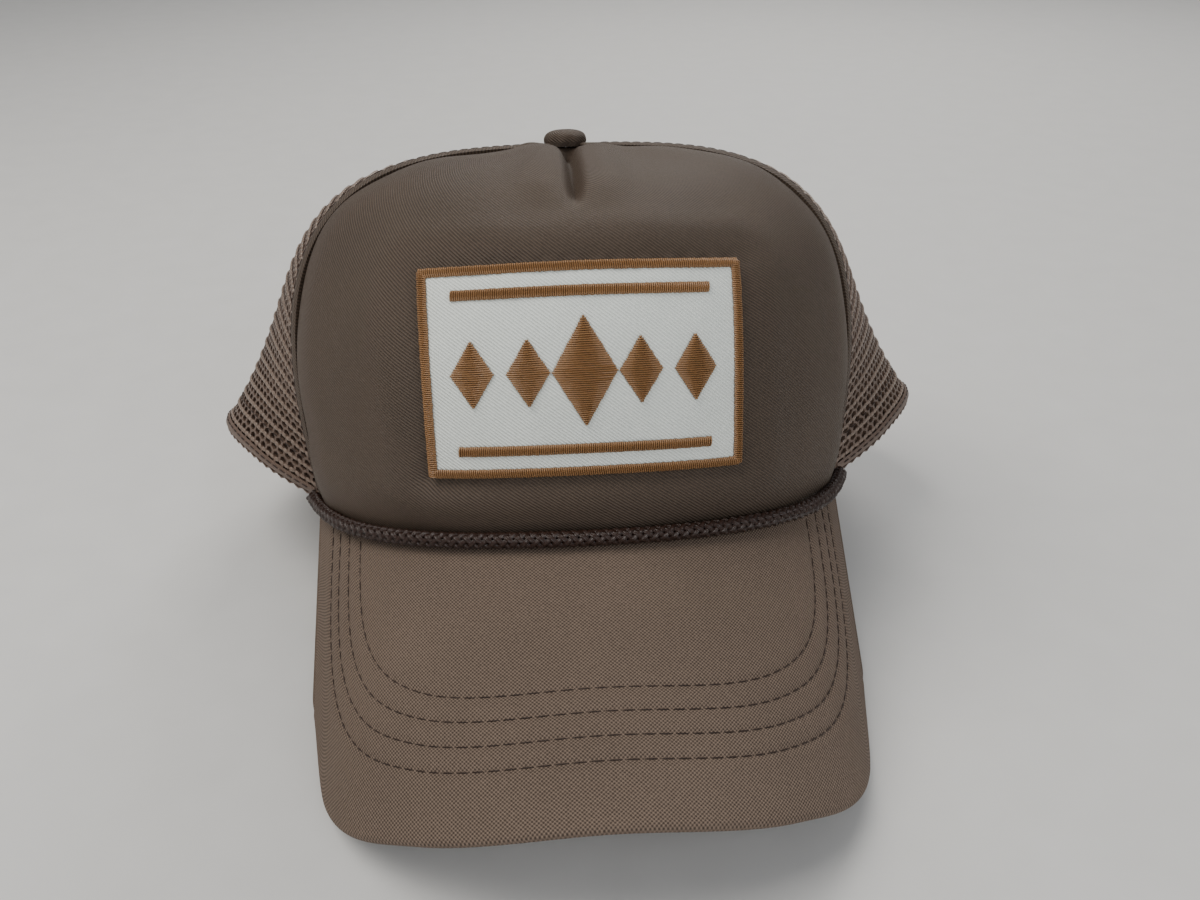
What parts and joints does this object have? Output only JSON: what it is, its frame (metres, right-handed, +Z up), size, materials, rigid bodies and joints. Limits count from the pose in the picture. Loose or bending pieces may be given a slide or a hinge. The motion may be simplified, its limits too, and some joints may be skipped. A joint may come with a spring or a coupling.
{
  "type": "trucker cap",
  "caption": "Foam-front trucker cap at rest: curved visor, braided rope over the seam, blank-motif patch, mesh sides and back, rear opening with a snap strap whose two ends swing apart.",
  "frame": {"origin": "the middle of the cap's footprint box, on the surface that it rests on", "axes": "+Z up, the visor points to -Y, +X is the side on the right when the cap is seen from the front"},
  "size_m": [0.2206, 0.229, 0.1345],
  "materials": {
    "front_cloth": "smooth satin-faced polyester, brown",
    "foam": "open-cell foam laminated behind the cloth",
    "mesh_net": "stiff warp-knit polyester mesh, brown",
    "lining": "plain woven cotton, brown",
    "binding": "folded bias strip, brown",
    "visor_cloth": "plain weave, brown",
    "visor_board": "moulded stiffener",
    "rope": "braided polyester cord with a sheen, dark brown",
    "patch_twill": "white twill",
    "embroidery": "satin-stitched thread, golden brown",
    "strap_plastic": "soft moulded plastic, brown",
    "rivet": "plain"
  },
  "bodies": {
    "cap": {"back_centre_tape": "lining", "back_mesh_left": "mesh_net", "back_mesh_right": "mesh_net", "back_opening_binding": "binding", "button_rivet": "rivet", "front_edge_band_left": "front_cloth", "front_edge_band_right": "front_cloth", "front_panel_cover": "front_cloth", "front_panel_foam": "foam", "front_seam_tape_left": "lining", "front_seam_tape_right": "lining", "hole_strap_anchor": "strap_plastic", "mesh_hem_left": "mesh_net", "mesh_hem_right": "mesh_net", "patch_border": "embroidery", "patch_motif": "embroidery", "patch_twill": "patch_twill", "rope": "rope", "side_mesh_left": "mesh_net", "side_mesh_right": "mesh_net", "side_seam_tape_left": "lining", "side_seam_tape_right": "lining", "stud_strap_anchor": "strap_plastic", "sweatband": "lining", "top_button": "front_cloth", "visor_board": "visor_board", "visor_bottom_cover": "visor_cloth", "visor_top_cover": "visor_cloth"},
    "hole_strap": {"hole_strap": "strap_plastic"},
    "stud_strap": {"stud_strap": "strap_plastic"}
  },
  "joints": [
    {"name": "hole_strap_swing", "type": "hinge", "parent": "cap", "child": "hole_strap", "pos_m": [0.0442, 0.10306, 0.00921], "axis": [0, -0.2267, -0.974], "range_deg": [0, 40], "stiffness_Nm_per_rad": 0.02},
    {"name": "stud_strap_swing", "type": "hinge", "parent": "cap", "child": "stud_strap", "pos_m": [-0.0442, 0.1016, 0.00955], "axis": [0, -0.2267, -0.974], "range_deg": [0, 30], "stiffness_Nm_per_rad": 0.02}
  ]
}
